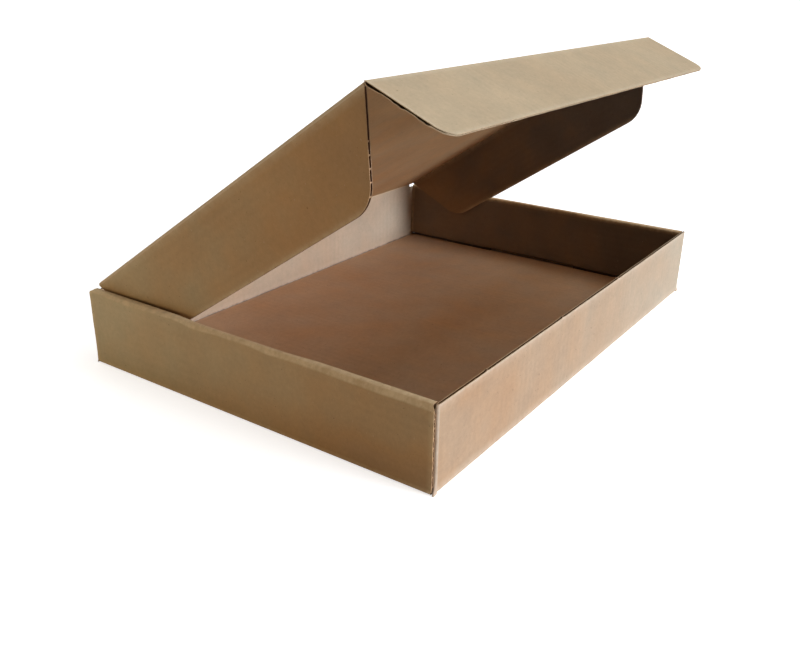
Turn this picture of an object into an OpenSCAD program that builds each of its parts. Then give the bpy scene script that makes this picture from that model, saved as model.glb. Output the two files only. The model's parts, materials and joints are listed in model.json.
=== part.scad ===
// Large letter mailer box: one folded sheet of fine corrugated board.
// The origin is the middle of the base's underside. +Z is up, the front wall faces -Y,
// and the lid's crease runs along X at the back.

/* [Tray] */
// Outer length of the tray, along the lid's crease
tray_w = 160; // [110:1:320]
// Outer depth of the tray, from the front wall to the back wall
tray_d = 114; // [90:1:240]
// Height of the tray's walls
tray_h = 22; // [16:0.5:50]
// How far the outer side panels stop short of the front and back faces
side_end_step = 0.5; // [0.3:0.1:0.8]
// Space between the ends of a roll-over strip and the front and back walls
strip_end_gap = 0.4; // [0.2:0.1:2]
// Space between the ends of an inner side panel and the front and back walls
inner_end_gap = 0.3; // [0.2:0.1:2]
// Height of the gap below an inner side panel, above the base
foot_gap = 0.7; // [0.1:0.1:1.5]

/* [Board] */
// Thickness of the corrugated board
board_t = 0.9; // [0.8:0.05:1.6]
// Thickness of each flat liner of the board
liner_t = 0.16; // [0.1:0.01:0.22]
// Thickness of the wavy layer between the liners
medium_t = 0.14; // [0.08:0.01:0.2]
// Distance from one flute to the next
flute_pitch = 2.4; // [1.8:0.1:4]
// How far a flute is open behind a raw edge that crosses it
mouth_depth = 1.6; // [0.5:0.1:3]
// Depth of the groove in a raw edge that runs along a flute
groove_depth = 0.5; // [0.2:0.1:1]
// Air between two layers of board that lie against each other
layer_gap = 0.1; // [0.05:0.01:0.3]
// Air between two panels beside a crease that turns
crease_gap = 0.1; // [0.05:0.01:0.2]

/* [Ears] */
// Length of each corner ear, between the two panels of a side wall
ear_len = 36; // [15:1:42]
// Space above an ear, below the roll-over strip, and below it, above the base
ear_gap = 0.3; // [0.1:0.1:2]
// Slant of the corners at an ear's free end
ear_slant = 4; // [1:0.5:6]

/* [Locks] */
// Width of each locking tab below an inner side panel
tab_w = 20; // [8:1:30]
// Distance from the middle of the side wall to the middle of a tab
tab_offset = 28; // [16:1:28]
// Clearance round a tab in its slot through the base
slot_gap = 0.15; // [0.1:0.01:0.3]
// How far the end of a tab stays above the underside of the base
tab_inset = 0.1; // [0.05:0.05:0.4]

/* [Lid] */
// Angle that the lid stands open
lid_open = 33.7; // [10:0.1:120]
// Clearance between each lid flap and the side wall beside it
lid_side_gap = 0.25; // [0.2:0.05:1.5]
// Clearance between the closed tuck flap and the front wall
tuck_wall_gap = 0.5; // [0.3:0.05:2]
// Radius of the relief hole at each end of the lid's crease
relief_r = 1.3; // [1:0.05:1.5]

/* [Lid flaps] */
// Clearance between a closed lid flap and the base
flap_floor_gap = 0.3; // [0.2:0.05:3]
// Angle that the two ends of a lid flap slant inwards
flap_taper = 31; // [10:1:40]
// Radius of a lid flap's free corners
flap_corner_r = 9; // [3:0.5:10]
// Distance from the tuck flap's crease to the front end of a lid flap
flap_front_gap = 0.9; // [0.9:0.05:4]
// Distance from the lid's crease to the back end of a lid flap
flap_rear_gap = 1.6; // [1.6:0.05:5]

/* [Tuck flap] */
// Angle that the tuck flap is bent down from the lid
tuck_bend = 57; // [0:1:90]
// Clearance between the closed tuck flap and the base
tuck_floor_gap = 0.45; // [0.2:0.05:4]
// Radius of the tuck flap's free corners
tuck_corner_r = 4; // [1:0.5:10]

/* [Hidden] */
$fn = 32;

// Half sizes of the tray
half_w = tray_w / 2;
half_d = tray_d / 2;
// Outer faces of the ear and of the inner panel in a side wall, and the side wall's inner face
ear_x = half_w - board_t - layer_gap;
inner_x = ear_x - board_t - layer_gap;
wall_x = inner_x - board_t;
// Ends of the outer panel, the roll-over strip and the inner panel of a side wall
outer_y = half_d - side_end_step;
strip_y = half_d - board_t - strip_end_gap;
inner_y = half_d - board_t - inner_end_gap;
// The lid's crease, and the top of the back wall below it
half_t = board_t / 2;
hinge_y = half_d - half_t;
hinge_z = tray_h + half_t;
back_h = hinge_z - half_t - crease_gap;
// Half width over the lid flaps, the lines that the flaps turn on, and the lid's flat panel
lid_x = wall_x - lid_side_gap;
fold_x = lid_x - board_t;
panel_x = fold_x - crease_gap;
// From the lid's crease to the tuck flap's crease, so that the tuck flap goes in behind the front wall
lid_len = tray_d - 2 * board_t - tuck_wall_gap;
// From the crease of each flap to its free edge
flap_len = tray_h - board_t - flap_floor_gap;
tuck_len = hinge_z - board_t - tuck_floor_gap;
// The relief holes lie where the lid's crease meets the creases of its flaps
relief_x = lid_x - half_t;
// Height of the opening between the two liners
core_t = board_t - 2 * liner_t;
// Radius that a panel's end leaves free round a crease that turns
crease_r = half_t + crease_gap;
// Largest angle from one point of a rounded corner to the next
arc_step = 8;
// How far a cut reaches past the face that it goes through
past = 3;

// A block between its lowest and its highest corner
module block(low, high) {
    translate(low) cube(high - low);
}

// The rounded outside of a fold: a quarter of a round bar in the +X +Y quarter, from Z = 0 up
module quarter_bar(length) {
    linear_extrude(length) intersection() {
        circle(board_t);
        square(board_t);
    }
}

// Points along an arc of radius r round centre, from one angle to another
function arc(centre, r, from, to) =
    let (steps = ceil((to - from) / arc_step))
    [for (i = [0 : steps]) let (a = from + (to - from) * i / steps) centre + r * [cos(a), sin(a)]];

// The flutes that a raw edge shows, flat: along X from 0 to length, and across the board along Y
module flute_row(length) {
    step = flute_pitch / 2;
    half_base = step - medium_t;
    count = floor(length / step) - 1;
    start = (length - (count + 1) * step) / 2;
    for (i = [1 : count]) {
        middle = start + i * step;
        upright = i % 2 == 0;
        foot = upright ? liner_t : board_t - liner_t;
        tip = upright ? board_t - liner_t - medium_t : liner_t + medium_t;
        polygon([[middle - half_base, foot], [middle + half_base, foot], [middle, tip]]);
    }
}

// Open ends of flutes, cut down from Z = 0 into a raw edge that lies along X
module flute_mouths(length) {
    translate([0, 0, -mouth_depth]) linear_extrude(mouth_depth + past) flute_row(length);
}

// Section of the base across a pair of folds, whose outer faces lie reach from the middle
module base_section(reach) {
    translate([board_t - reach, 0]) square([2 * (reach - board_t), board_t]);
    for (side = [0, 1]) mirror([side, 0]) translate([reach - board_t, board_t]) intersection() {
        circle(board_t);
        translate([0, -board_t]) square(board_t);
    }
}

// The base: the outside of its four folds is round, and two slots along each side take the locking tabs
module base() {
    difference() {
        intersection() {
            translate([0, half_d, 0]) rotate([90, 0, 0]) linear_extrude(tray_d) base_section(half_w);
            translate([-half_w, 0, 0]) rotate([90, 0, 90]) linear_extrude(tray_w) base_section(half_d);
        }
        for (side = [-1, 1], end = [-1, 1]) {
            translate([side * (wall_x + half_t), end * tab_offset, 0])
                cube([board_t + 2 * slot_gap, tab_w + 2 * slot_gap, 2 * past], center = true);
        }
    }
}

// One corner ear, on the +X side of the wall at -Y: it lies between the two panels of the side wall
module ear() {
    low = board_t + ear_gap;
    high = tray_h - board_t - ear_gap;
    root = board_t - half_d;
    tip = root + ear_len;
    outline = [
        [root, low], [tip - ear_slant, low], [tip, low + ear_slant],
        [tip, high - ear_slant], [tip - ear_slant, high], [root, high]
    ];
    translate([ear_x - board_t, 0, 0]) rotate([90, 0, 90]) linear_extrude(board_t) polygon(outline);
}

// The wall at -Y, up to a given height, with its two upright folds and its ears
module end_wall(height) {
    fold_centre = ear_x - board_t;
    block([-fold_centre, -half_d, board_t], [fold_centre, board_t - half_d, height]);
    for (side = [0, 1]) mirror([side, 0, 0]) {
        translate([fold_centre, board_t - half_d, board_t]) mirror([0, 1, 0]) quarter_bar(height - board_t);
        ear();
    }
}

// The front wall, whose raw top edge shows the flutes
module front_wall() {
    difference() {
        end_wall(tray_h);
        translate([board_t - ear_x, -half_d, tray_h]) flute_mouths(2 * (ear_x - board_t));
    }
}

// The back wall stops just below the lid's crease and shares its relief holes
module back_wall() {
    difference() {
        mirror([0, 1, 0]) end_wall(back_h);
        for (side = [-1, 1]) {
            translate([side * relief_x, half_d + past, hinge_z]) rotate([90, 0, 0])
                cylinder(r = relief_r, h = board_t + 2 * past);
        }
    }
}

// The outer panel of the side wall at +X, with open flutes in both ends
module outer_panel() {
    height = tray_h - 2 * board_t;
    difference() {
        block([half_w - board_t, -outer_y, board_t], [half_w, outer_y, board_t + height]);
        for (end = [0, 1]) mirror([0, end, 0]) {
            translate([half_w - board_t, outer_y, board_t]) rotate([0, -90, -90]) flute_mouths(height);
        }
    }
}

// The strip that rolls over the top of the side wall at +X, with its two folds
module roll_over() {
    low = tray_h - board_t;
    block([inner_x, -strip_y, low], [half_w - board_t, strip_y, tray_h]);
    translate([half_w - board_t, strip_y, low]) rotate([90, 0, 0]) quarter_bar(2 * strip_y);
    translate([inner_x, strip_y, low]) mirror([1, 0, 0]) rotate([90, 0, 0]) quarter_bar(2 * strip_y);
}

// The inner panel of the side wall at +X, with the tabs that lock it into the base
module inner_panel() {
    foot = board_t + foot_gap;
    block([wall_x, -inner_y, foot], [inner_x, inner_y, tray_h - board_t]);
    for (end = [-1, 1]) {
        middle = end * tab_offset;
        block([wall_x, middle - tab_w / 2, tab_inset], [inner_x, middle + tab_w / 2, foot + tab_inset]);
    }
}

// The tray: base, front and back walls with ears, and two double side walls, all one folded sheet
module tray() {
    color([0.62, 0.47, 0.33]) union() {
        base();
        front_wall();
        back_wall();
        for (side = [0, 1]) mirror([side, 0, 0]) {
            outer_panel();
            roll_over();
            inner_panel();
        }
    }
}

// Puts what is drawn for a closed lid, with its crease on the X axis, on the open lid's place
module on_lid() {
    translate([0, hinge_y, hinge_z]) rotate([-lid_open, 0, 0]) children();
}

// A bar along X, in the middle of what it is drawn on
module round_bar(r, length) {
    rotate([0, 90, 0]) cylinder(r = r, h = length, center = true);
}

// The lid's panel, with the round bar of its crease and a hollow end that the tuck flap's bar turns in
module lid() {
    color([0.58, 0.44, 0.30]) on_lid() difference() {
        union() {
            block([-panel_x, -lid_len, -half_t], [panel_x, 0, half_t]);
            round_bar(half_t, 2 * panel_x);
        }
        translate([0, -lid_len, 0]) round_bar(crease_r, 2 * lid_x);
        block([-lid_x, -lid_len - past, -past], [lid_x, crease_r - lid_len, 0]);
        for (side = [-1, 1]) {
            translate([side * relief_x, 0, 0]) cylinder(r = relief_r, h = 2 * past, center = true);
        }
    }
}

// Outline of a lid flap, flat: X runs from the tuck flap back to the lid's crease, Y = 0 is its crease
module flap_outline() {
    front = flap_front_gap - lid_len;
    back = -flap_rear_gap;
    inset = flap_len * tan(flap_taper) + flap_corner_r / tan((90 + flap_taper) / 2);
    centre_y = flap_corner_r - flap_len;
    polygon(concat(
        [[front, 0]],
        arc([front + inset, centre_y], flap_corner_r, 180 + flap_taper, 270),
        arc([back - inset, centre_y], flap_corner_r, 270, 360 - flap_taper),
        [[back, 0]]
    ));
}

// What the flutes take from the slanted ends of a lid flap, and the groove in its free edge
module flap_flutes() {
    for (shift = [-mouth_depth, mouth_depth]) {
        intersection() {
            translate([0, -lid_len, -flap_len]) rotate([0, -90, -90])
                linear_extrude(lid_len) flute_row(flap_len);
            translate([-past, 0, 0]) rotate([90, 0, 90]) linear_extrude(2 * past) difference() {
                flap_outline();
                translate([shift, 0]) flap_outline();
            }
        }
    }
    end_y = flap_len * tan(flap_taper) + flap_corner_r;
    block([liner_t, flap_front_gap - lid_len + end_y, -flap_len - past],
        [liner_t + core_t, -flap_rear_gap - end_y, groove_depth - flap_len]);
}

// A lid flap that hangs from X = 0 to X = board_t below the lid's inner face, round at its crease
module lid_flap() {
    length = lid_len - flap_front_gap - flap_rear_gap;
    difference() {
        rotate([90, 0, 90]) linear_extrude(board_t) flap_outline();
        flap_flutes();
    }
    translate([board_t, -flap_rear_gap, 0]) mirror([1, 0, 0]) rotate([90, 0, 0]) quarter_bar(length);
}

module lid_flap_left() {
    color([0.54, 0.41, 0.28]) on_lid() translate([-lid_x, 0, -half_t]) lid_flap();
}

module lid_flap_right() {
    color([0.30, 0.22, 0.16]) on_lid() mirror([1, 0, 0]) translate([-lid_x, 0, -half_t]) lid_flap();
}

// Outline of the tuck flap, flat: its crease lies on the X axis and its free edge below it
module tuck_outline() {
    centre = [lid_x - tuck_corner_r, tuck_corner_r - tuck_len];
    polygon(concat(
        [[-lid_x, 0]],
        arc([-centre.x, centre.y], tuck_corner_r, 180, 270),
        arc(centre, tuck_corner_r, 270, 360),
        [[lid_x, 0]]
    ));
}

// The tuck flap, with the round bar of its crease, open flutes below and grooves in its two side edges
module tuck_flap() {
    color([0.74, 0.66, 0.55]) on_lid() translate([0, -lid_len, 0]) rotate([tuck_bend, 0, 0]) {
        difference() {
            translate([0, 0, -half_t]) linear_extrude(board_t) tuck_outline();
            translate([tuck_corner_r - lid_x, -tuck_len, -half_t]) rotate([90, 0, 0])
                flute_mouths(2 * (lid_x - tuck_corner_r));
            for (side = [0, 1]) mirror([side, 0, 0]) {
                block([lid_x - groove_depth, tuck_corner_r - tuck_len, -core_t / 2],
                    [lid_x + past, -board_t, core_t / 2]);
            }
        }
        round_bar(half_t, 2 * lid_x);
    }
}

tray();
lid();
lid_flap_left();
lid_flap_right();
tuck_flap();
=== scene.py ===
"""The large letter mailer box: one sheet of fine corrugated board, folded into a tray with a hinged lid.

Every panel is made of three closed layers: two flat liners and a fluted layer between them.
A panel is worked out on its blank, the flat cut sheet: a runs along the flutes, b across them,
and h is the height above the middle of the board, towards the face that is outside on the box.
All lengths are in millimetres until a mesh is made.
"""
import json
import math

import bmesh
import bpy
import numpy as np
from mathutils import Matrix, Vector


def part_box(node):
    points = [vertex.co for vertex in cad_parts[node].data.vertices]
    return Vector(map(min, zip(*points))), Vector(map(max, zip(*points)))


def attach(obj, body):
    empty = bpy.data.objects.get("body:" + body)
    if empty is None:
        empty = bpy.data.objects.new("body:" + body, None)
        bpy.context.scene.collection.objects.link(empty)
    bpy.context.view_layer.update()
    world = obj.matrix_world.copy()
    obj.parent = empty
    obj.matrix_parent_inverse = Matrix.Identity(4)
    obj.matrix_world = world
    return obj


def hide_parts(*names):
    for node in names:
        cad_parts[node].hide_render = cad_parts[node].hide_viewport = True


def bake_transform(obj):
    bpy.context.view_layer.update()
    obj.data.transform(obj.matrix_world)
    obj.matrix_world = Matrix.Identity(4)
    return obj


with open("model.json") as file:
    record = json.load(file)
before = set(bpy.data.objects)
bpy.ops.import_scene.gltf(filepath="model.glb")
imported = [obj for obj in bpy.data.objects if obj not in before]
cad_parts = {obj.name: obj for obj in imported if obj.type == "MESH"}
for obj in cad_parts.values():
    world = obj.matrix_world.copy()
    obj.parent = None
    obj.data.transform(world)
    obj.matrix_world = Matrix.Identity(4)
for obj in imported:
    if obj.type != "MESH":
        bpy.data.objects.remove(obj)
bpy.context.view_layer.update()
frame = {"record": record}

# Places taken from the frame
MM = 0.001
tray_high = np.array(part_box("tray")[1]) / MM
joints = {joint["name"]: joint for joint in frame["record"]["behaviour"]["joints"]}
hinge = np.array(joints["lid_hinge"]["pos_m"]) / MM
tuck_line = np.array(joints["tuck_fold"]["pos_m"]) / MM
HALF_W = tray_high[0]
HALF_D = tray_high[1]
WALL_H = hinge[2] - (HALF_D - hinge[1])
HALF_T = HALF_D - hinge[1]
BOARD_T = 2 * HALF_T
LID_LEN = math.hypot(*(tuck_line - hinge)[1:])
LID_OPEN = math.atan2(tuck_line[2] - hinge[2], hinge[1] - tuck_line[1])
TUCK_BEND = -math.radians(joints["tuck_fold"]["range_deg"][0])
FLAP_FOLD_X = joints["right_flap_fold"]["pos_m"][0] / MM
LID_X = FLAP_FOLD_X + BOARD_T

# The board
LINER_T = 0.16
MEDIUM_T = 0.14
FLUTE_PITCH = 2.4
FLUTE_STEP = 0.2
BASE_FLUTE_STEP = 0.24
PANEL_STEP = 2.0
BASE_STEP = 3.0
CREASE_STEP = 4.0
LONG_STEP = 30.0
FOLD_R = 0.42
FOLD_LEN = FOLD_R * math.pi / 2
FOLD_STEP = FOLD_LEN / 8
UPRIGHT_R = 0.12
UPRIGHT_LEN = UPRIGHT_R * math.pi / 2
STRIP_FOLD_R = 0.45
STRIP_FOLD_LEN = STRIP_FOLD_R * math.pi / 2
SHOULDER_R = 0.3
SHOULDER_LEN = 0.6
SHOULDER_TURN = math.radians(50)
CORE_RECESS = 0.08
SQUASH = 2.1
WAVINESS = 0.02

# Clearances and ends of the tray's panels
LAYER_GAP = 0.1
BACK_GAP = 0.1
OUTER_END_STEP = 0.5
INNER_END_GAP = 0.3
FOOT_GAP = 0.7
EAR_LEN = 36.0
EAR_GAP = 0.3
EAR_TOP_GAP = 0.8
EAR_SLANT = 4.0
TAB_W = 20.0
TAB_OFFSET = 28.0
TAB_INSET = 0.1
SLOT_GAP = 0.15

# Lid, lid flaps and tuck flap
RELIEF_R = 1.3
RELIEF_X = LID_X - HALF_T
FLAP_LEN = 20.8
FLAP_TAPER = math.radians(31)
FLAP_CORNER_R = 9.0
FLAP_FRONT_GAP = 0.55
FLAP_REAR_GAP = {-1: 0.4, 1: 1.6}
FLAP_LEAN = {-1: 1.0, 1: 0.55}
GAPING = 1.0
GAPING_TO = 8.0
GROOVE = 1.1
TUCK_LEN = 21.1
TUCK_CORNER_R = 4.0

# Where the middle of each panel's board lies, and where its folds start
BEND_X = HALF_W - HALF_T - FOLD_R
BEND_Y = HALF_D - HALF_T - FOLD_R
BEND_LOW = HALF_T + FOLD_R
BEND_HIGH = WALL_H - HALF_T - STRIP_FOLD_R
SHOULDER_H = SHOULDER_R + SHOULDER_LEN * math.cos(SHOULDER_TURN)
SHOULDER_W = SHOULDER_R + SHOULDER_LEN * math.sin(SHOULDER_TURN)
EAR_X = HALF_W - BOARD_T - LAYER_GAP - HALF_T
INNER_X = EAR_X - BOARD_T - LAYER_GAP
WALL_BEND_X = EAR_X - UPRIGHT_R
BACK_H = WALL_H - BACK_GAP

# The board's usual tone, between pale and reddish
USUAL_TONE = 0.45

# Parts of a layer's shell, and the material slots of a piece
UPPER, LOWER, WALL = range(3)
LINER, RAW, CORE = range(3)


# Small tools

def lines(stops, step):
    """Grid lines through all stops, evenly spaced between two stops, no further apart than step."""
    spans = zip(stops, stops[1:])
    parts = [np.linspace(p, q, max(1, math.ceil((q - p) / step - 1e-6)) + 1)[:-1] for p, q in spans]
    return np.append(np.concatenate(parts), stops[-1])


def merged(*parts):
    """The grid lines of several lists, in order and each once."""
    return np.unique(np.round(np.concatenate(parts), 6))


def mirrored(half):
    """Grid stops from 0 outwards, and the same stops on the other side of 0."""
    return [-x for x in half[:0:-1]] + half


def near(x, places, width):
    """1 at each of the places and 0 away from them, as a bell of the given width."""
    return sum(np.exp(-((x - p) / width) ** 2) for p in places)


def smooth(x, start, end):
    """0 before start, 1 after end and an S curve between them."""
    t = np.clip((x - start) / (end - start), 0, 1)
    return t * t * (3 - 2 * t)


def ripple(a, b, seed, longest=26.0, shortest=7.0, waves=9):
    """Slow unevenness between -1 and 1: a sum of sine waves in directions that the seed picks."""
    random = np.random.default_rng(seed)
    length = random.uniform(shortest, longest, waves)
    heading = random.uniform(0, math.pi, waves)
    phase = random.uniform(0, 2 * math.pi, waves)
    total = np.zeros(np.broadcast(a, b).shape)
    for l, t, p in zip(length, heading, phase):
        total += np.sin(2 * math.pi * (a * math.cos(t) + b * math.sin(t)) / l + p)
    return total / math.sqrt(waves) / 1.5


def fold_path(s, start, heading, runs):
    """A path of straight runs and round bends, each given by its length and by how far it turns.
    Its place and its heading at distance s are sums over the runs, each as far as s has gone in it."""
    u = np.full_like(s, start[0])
    v = np.full_like(s, start[1])
    angle = np.full_like(s, heading)
    done = 0.0
    theta = heading
    for length, turn in runs:
        t = np.clip(s - done, 0, length)
        if done == 0.0:
            t = np.minimum(s, length)
        if turn:
            k = turn / length
            u += (np.sin(theta + k * t) - math.sin(theta)) / k
            v += (math.cos(theta) - np.cos(theta + k * t)) / k
            angle += k * t
        else:
            u += t * math.cos(theta)
            v += t * math.sin(theta)
        theta += turn
        done += length
    return u, v, angle


def grid(a_lines, b_lines, keep=None):
    """A grid of blank coordinates, and which of its cells are board: keep tells it from a cell's middle."""
    a, b = np.meshgrid(a_lines, b_lines, indexing="ij")
    a_mid, b_mid = ((x[1:, 1:] + x[:-1, :-1]) / 2 for x in (a, b))
    kept = np.ones(a_mid.shape, bool) if keep is None else keep(a_mid, b_mid)
    return a, b, kept


def outlined(a_share, b_lines, a_from, a_to):
    """A grid whose lines along the flutes run between two outlines, each a function of b."""
    share, b = np.meshgrid(a_share, b_lines, indexing="ij")
    a = a_from(b) + (a_to(b) - a_from(b)) * share
    return a, b, np.ones((a.shape[0] - 1, a.shape[1] - 1), bool)


def shell(a, b, low, high, kept):
    """A closed shell: the grid at height high, the grid at height low, and walls round what is kept.
    Returns its points as (a, b, h), its four-cornered faces, and each face's part: UPPER, LOWER or WALL."""
    rows, cols = a.shape
    upper = np.arange(rows * cols).reshape(rows, cols)
    lower = upper + rows * cols
    caps = [np.stack([i[:-1, :-1][kept], i[1:, :-1][kept], i[1:, 1:][kept], i[:-1, 1:][kept]], -1)
            for i in (upper, lower)]
    wide = np.pad(kept, 1)
    down = wide[1:-1, :-1] != wide[1:-1, 1:]
    across = wide[:-1, 1:-1] != wide[1:, 1:-1]
    walls = [np.stack([upper[:-1][down], upper[1:][down], lower[1:][down], lower[:-1][down]], -1),
             np.stack([upper[:, :-1][across], upper[:, 1:][across],
                       lower[:, 1:][across], lower[:, :-1][across]], -1)]
    faces = np.concatenate(caps + walls)
    part = np.repeat([UPPER, LOWER, WALL], [len(caps[0]), len(caps[1]), len(faces) - 2 * len(caps[0])])
    points = np.concatenate([np.stack([a, b, h], -1).reshape(-1, 3) for h in (high, low)])
    used, faces = np.unique(faces, return_inverse=True)
    return points[used], faces.reshape(-1, 4), part


def even_tone(a, b, h):
    """The board's usual tone, all over the panel."""
    return np.full(np.shape(a), USUAL_TONE)


def corrugated(place, coarse, fine, top, bottom, rub_and_highlight, tone=even_tone):
    """Three closed layers of one panel between its faces top(a, b) and bottom(a, b): the outer liner,
    the inner liner, and the fluted layer, whose middle swings as a sine of b between the two liners.
    Where the flutes are cut across, their outer crests are squashed down to the inner liner."""
    a, b, kept = coarse
    upper = top(a, b)
    lower = bottom(a, b)
    layers = [(shell(a, b, upper - LINER_T, upper, kept), (LINER, CORE, RAW)),
              (shell(a, b, lower, lower + LINER_T, kept), (CORE, LINER, RAW))]
    a, b, kept = fine
    upper = top(a, b)
    lower = bottom(a, b)
    room = np.maximum((upper - lower) / 2 - LINER_T - MEDIUM_T / 2, 0)
    wave = np.sin(2 * math.pi * b / FLUTE_PITCH)
    middle = (upper + lower) / 2 + room * wave
    from_cut = np.minimum(abs(a - a[:1]), abs(a - a[-1:]))
    squash = SQUASH * room * bridges(b) * np.exp(-(from_cut / 0.3) ** 2)
    under = middle - MEDIUM_T / 2 - squash
    layers.append((shell(a, b, under, middle + MEDIUM_T / 2, kept), (CORE, CORE, RAW)))
    return [(place(*points.T), points, faces, np.array(finish)[part],
             np.clip(rub_and_highlight(*points.T[:2]), 0, 1), tone(*points.T)) for (points, faces, part), finish in layers]


def bridges(b):
    """1 at every flute's outer crest and 0 between: a sine to a high power, cut off flat."""
    return np.clip(2.5 * np.clip(np.sin(2 * math.pi * b / FLUTE_PITCH), 0, 1) ** 12, 0, 1)


def make_piece(name, layers, liner, body=None):
    """One object of several layers: outside faces take the liner's material, cut edges the raw one,
    and what lies between the liners the core's.
    UV map blank holds (b, a) in metres. One attribute is 1 where handling has left wear on the board and
    where a highlight is painted, and attribute tone goes from 0 for pale board through 1 for reddish to 2
    for painted shade and 3 for deep painted shade."""
    columns = list(zip(*layers))
    starts = np.cumsum([0] + [len(points) for points in columns[0][:-1]])
    columns[2] = [faces + start for faces, start in zip(columns[2], starts)]
    points, blank, faces, finish, rub_and_highlight, tone = (np.concatenate(column) for column in columns)
    mesh = bpy.data.meshes.new(name)
    mesh.from_pydata((points * MM).tolist(), [], faces.tolist())
    corners = np.empty(len(mesh.loops), np.int32)
    mesh.loops.foreach_get("vertex_index", corners)
    uv = mesh.uv_layers.new(name="blank")
    uv.data.foreach_set("uv", (blank[corners][:, [1, 0]] * MM).ravel().astype(np.float32))
    for label, values in (("rub_and_highlight", rub_and_highlight), ("tone", tone)):
        mesh.attributes.new(label, "FLOAT", "POINT").data.foreach_set("value", values.astype(np.float32))
    for material in (liner, raw_edge, core_paper):
        mesh.materials.append(material)
    mesh.polygons.foreach_set("material_index", finish.astype(np.int32))
    mesh.polygons.foreach_set("use_smooth", np.ones(len(faces), bool))
    shape = bmesh.new()
    shape.from_mesh(mesh)
    bmesh.ops.recalc_face_normals(shape, faces=shape.faces)
    shape.to_mesh(mesh)
    shape.free()
    mesh.set_sharp_from_angle(angle=math.radians(35))
    piece = bpy.data.objects.new(name, mesh)
    bpy.context.scene.collection.objects.link(piece)
    if body:
        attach(piece, body)
    return piece


# Shader node helpers

def new_group(name, inputs, outputs):
    """An empty shader node group with the given sockets, each a (name, kind, value) or (name, kind)."""
    group = bpy.data.node_groups.new(name, "ShaderNodeTree")
    for label, kind, value in inputs:
        socket = group.interface.new_socket(label, in_out="INPUT", socket_type="NodeSocket" + kind)
        socket.default_value = value
    for label, kind in outputs:
        group.interface.new_socket(label, in_out="OUTPUT", socket_type="NodeSocket" + kind)
    return group, group.nodes.new("NodeGroupInput"), group.nodes.new("NodeGroupOutput")


def fill(socket, value):
    """Links a socket, or sets its own value."""
    if isinstance(value, bpy.types.NodeSocket):
        socket.id_data.links.new(value, socket)
    else:
        socket.default_value = value


def math_node(tree, operation, *values, clamp=False):
    """A Math node's output for up to three values."""
    node = tree.nodes.new("ShaderNodeMath")
    node.operation = operation
    node.use_clamp = clamp
    for socket, value in zip(node.inputs, values):
        fill(socket, value)
    return node.outputs[0]


def product(tree, *values, clamp=False):
    """The product of several values."""
    result = values[0]
    for value in values[1:]:
        result = math_node(tree, "MULTIPLY", result, value, clamp=clamp)
    return result


def summed(tree, *values):
    """The sum of several values."""
    result = values[0]
    for value in values[1:]:
        result = math_node(tree, "ADD", result, value)
    return result


def attribute(tree, label):
    """The value of one of the mesh's attributes."""
    node = tree.nodes.new("ShaderNodeAttribute")
    node.attribute_name = label
    return node.outputs["Fac"]


def object_place(tree):
    """Object coordinates."""
    return tree.nodes.new("ShaderNodeTexCoord").outputs["Object"]


def blank_place(tree):
    """The place on the blank, from the UV map."""
    node = tree.nodes.new("ShaderNodeUVMap")
    node.uv_map = "blank"
    return node.outputs["UV"]


def brightened(tree, colour, gain):
    """A colour times a value."""
    node = tree.nodes.new("ShaderNodeVectorMath")
    node.operation = "SCALE"
    fill(node.inputs[0], colour)
    fill(node.inputs["Scale"], gain)
    return node.outputs[0]


def mix_node(tree, factor, first, second, kind="MIX"):
    """The mix of two colours."""
    node = tree.nodes.new("ShaderNodeMix")
    node.data_type = "RGBA"
    node.blend_type = kind
    fill(node.inputs["Factor"], factor)
    fill(node.inputs["A"], first)
    fill(node.inputs["B"], second)
    return node.outputs["Result"]


def scaled(tree, vector, scale):
    """A vector times a scale for each axis."""
    node = tree.nodes.new("ShaderNodeMapping")
    fill(node.inputs["Vector"], vector)
    fill(node.inputs["Scale"], scale)
    return node.outputs["Vector"]


def noise(tree, vector, scale, detail=3.0, roughness=0.55):
    """The value of a noise texture."""
    node = tree.nodes.new("ShaderNodeTexNoise")
    fill(node.inputs["Vector"], vector)
    fill(node.inputs["Scale"], scale)
    fill(node.inputs["Detail"], detail)
    fill(node.inputs["Roughness"], roughness)
    return node.outputs["Fac"]


def ramp(tree, value, low, high):
    """0 below low, 1 above high and an S curve between them."""
    node = tree.nodes.new("ShaderNodeMapRange")
    node.interpolation_type = "SMOOTHSTEP"
    fill(node.inputs["Value"], value)
    fill(node.inputs["From Min"], low)
    fill(node.inputs["From Max"], high)
    return node.outputs["Result"]


def new_material(name, roughness, specular):
    """A material of plain roughness, its node tree and its shader."""
    material = bpy.data.materials.new(name)
    material.use_nodes = True
    shader = material.node_tree.nodes["Principled BSDF"]
    shader.inputs["Roughness"].default_value = roughness
    shader.inputs["Specular IOR Level"].default_value = specular
    return material, material.node_tree, shader


def add_bump(tree, shader, height, strength, depth):
    """Bumps of the given depth in millimetres, into the shader's normal."""
    bump = tree.nodes.new("ShaderNodeBump")
    bump.inputs["Strength"].default_value = strength
    bump.inputs["Distance"].default_value = depth * MM
    fill(bump.inputs["Height"], height)
    fill(shader.inputs["Normal"], bump.outputs["Normal"])


def place_group(tree, group, **values):
    """A group's node with the given inputs."""
    node = tree.nodes.new("ShaderNodeGroup")
    node.node_tree = group
    for label, value in values.items():
        fill(node.inputs[label], value)
    return node


# Effects that the boards share

# Tints of the tones 0, 1, 2 and 3, multiplied with the liner's colour: pale board, reddish board, painted
# shade and deep painted shade
PALE_TINT = (1.07, 1.20, 1.28, 1)
WARM_TINT = (0.96, 0.73, 0.55, 1)
SHADE_TINT = (0.34, 0.35, 0.47, 1)
DEEP_SHADE_TINT = (0.08, 0.07, 0.07, 1)

# Each blotch noise's scale, detail, roughness and weight, from large clouds to fine grain
BLOTCHES = ((38.0, 4.0, 0.6, 0.30), (150.0, 4.0, 0.65, 0.24), (900.0, 3.0, 0.7, 0.24))
FIBRE_WEIGHT = 0.13

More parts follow.
